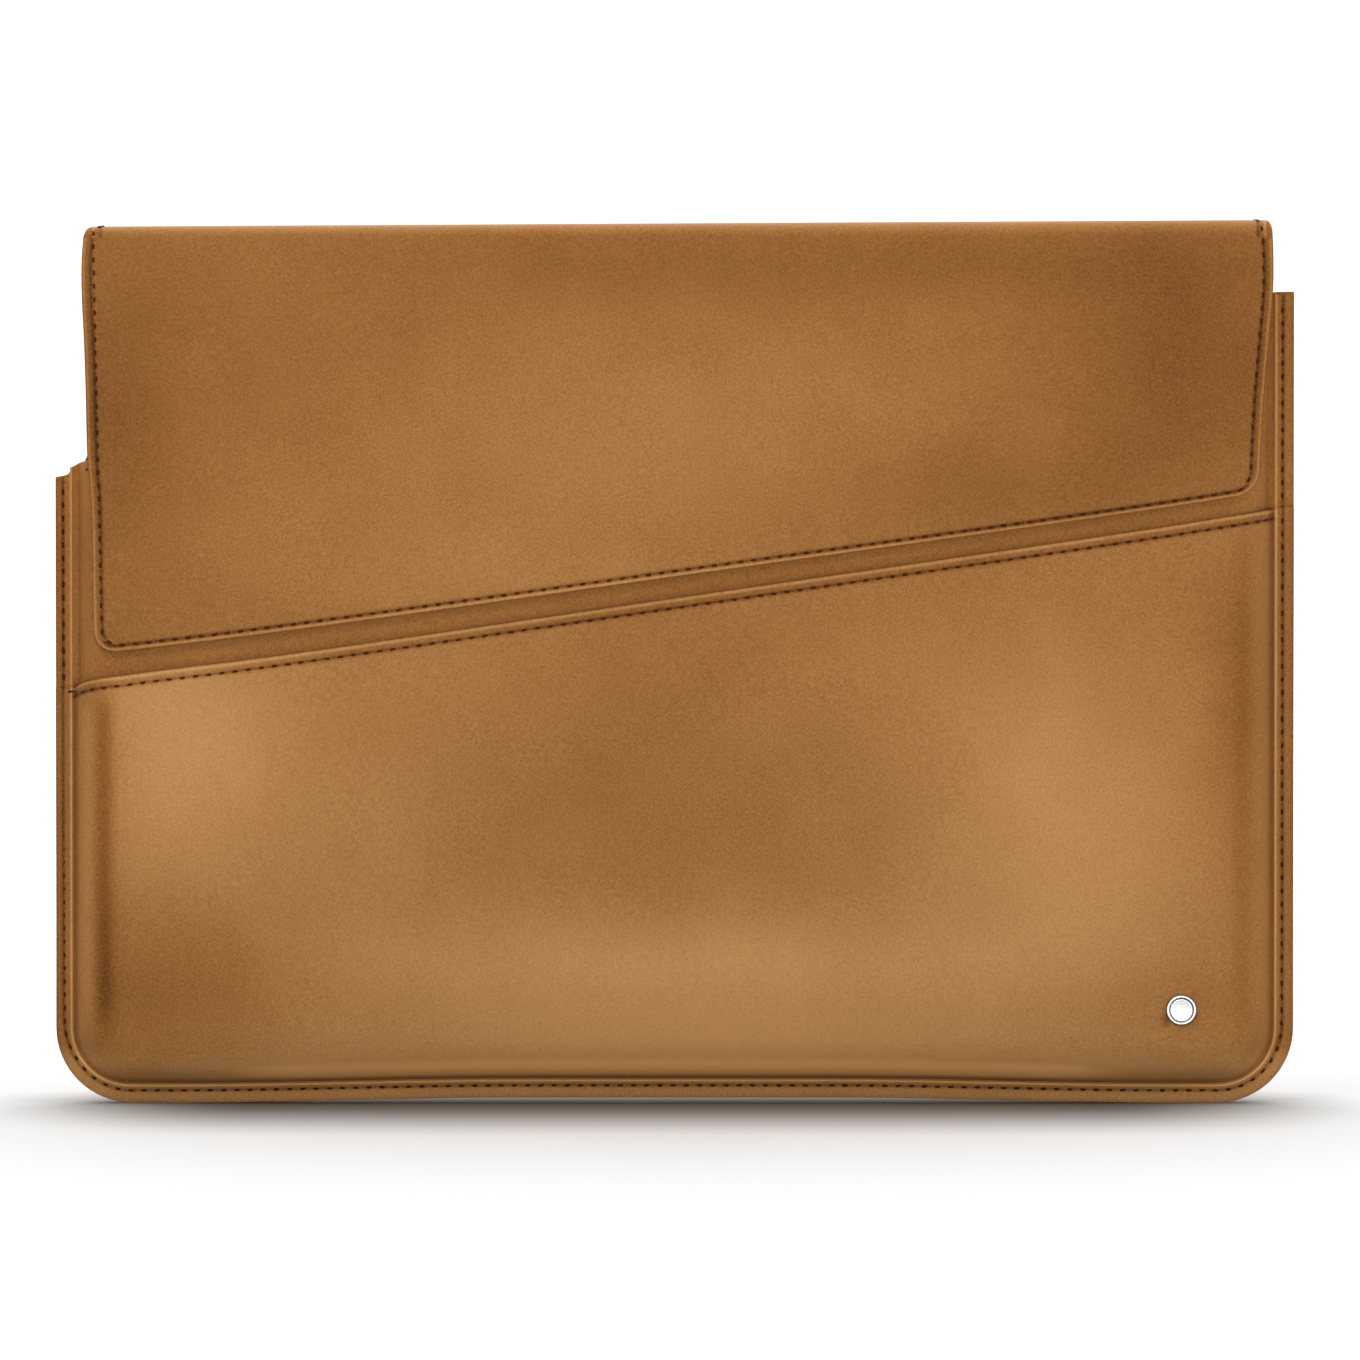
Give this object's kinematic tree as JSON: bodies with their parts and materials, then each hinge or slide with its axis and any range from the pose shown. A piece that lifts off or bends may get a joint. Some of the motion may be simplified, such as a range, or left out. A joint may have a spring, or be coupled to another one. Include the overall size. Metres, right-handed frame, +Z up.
{
  "type": "laptop sleeve",
  "caption": "Slim padded leather laptop sleeve standing upright: a sewn pouch with a slanting document pocket and a slant-cut magnetic flap folding over the top from the back.",
  "frame": {"origin": "middle of the bounding box's bottom, on the surface that the sleeve stands on, in the plane of the side seams", "axes": "+X along the width, to the sleeve's right seen from the front; +Y from the front (flap and pocket side) to the back; +Z up, from the closed bottom edge to the spine"},
  "size_m": [0.374, 0.0294, 0.266],
  "materials": {
    "leather": "smooth semi-aniline, satin",
    "leather_inner": "smooth semi-aniline, satin",
    "lining": "soft microsuede",
    "foam": "closed-cell foam",
    "board": "matt fibreboard",
    "thread": "waxed, twisted",
    "stud_steel": "polished",
    "magnet": "nickel plated"
  },
  "bodies": {
    "pouch": {"back_leather": "leather", "back_board": "board", "back_padding": "foam", "back_lining": "lining", "inner_panel_leather": "leather_inner", "inner_panel_padding": "foam", "inner_panel_lining": "lining", "keeper_magnet_left": "magnet", "keeper_magnet_right": "magnet", "pocket_panel_leather": "leather", "pocket_lining": "lining", "seam_needle_thread": "thread", "seam_bobbin_thread": "thread", "pocket_edge_thread": "thread", "mouth_edge_thread": "thread", "back_edge_thread": "thread", "stud_cap": "stud_steel", "stud_post": "stud_steel", "stud_washer": "stud_steel"},
    "spine": {"spine_leather": "leather", "spine_lining": "lining", "spine_edge_thread": "thread"},
    "flap": {"flap_leather": "leather", "flap_board": "board", "flap_lining": "lining", "flap_edge_thread": "thread", "flap_magnet_left": "magnet", "flap_magnet_right": "magnet"}
  },
  "joints": [
    {"name": "spine_crease", "type": "hinge", "parent": "pouch", "child": "spine", "pos_m": [0, 0.01325, 0.26435], "axis": [-1, 0, 0], "range_deg": [0, 170]},
    {"name": "flap_crease", "type": "hinge", "parent": "spine", "child": "flap", "pos_m": [0, -0.01305, 0.26435], "axis": [-1, 0, 0], "range_deg": [0, 170]}
  ]
}
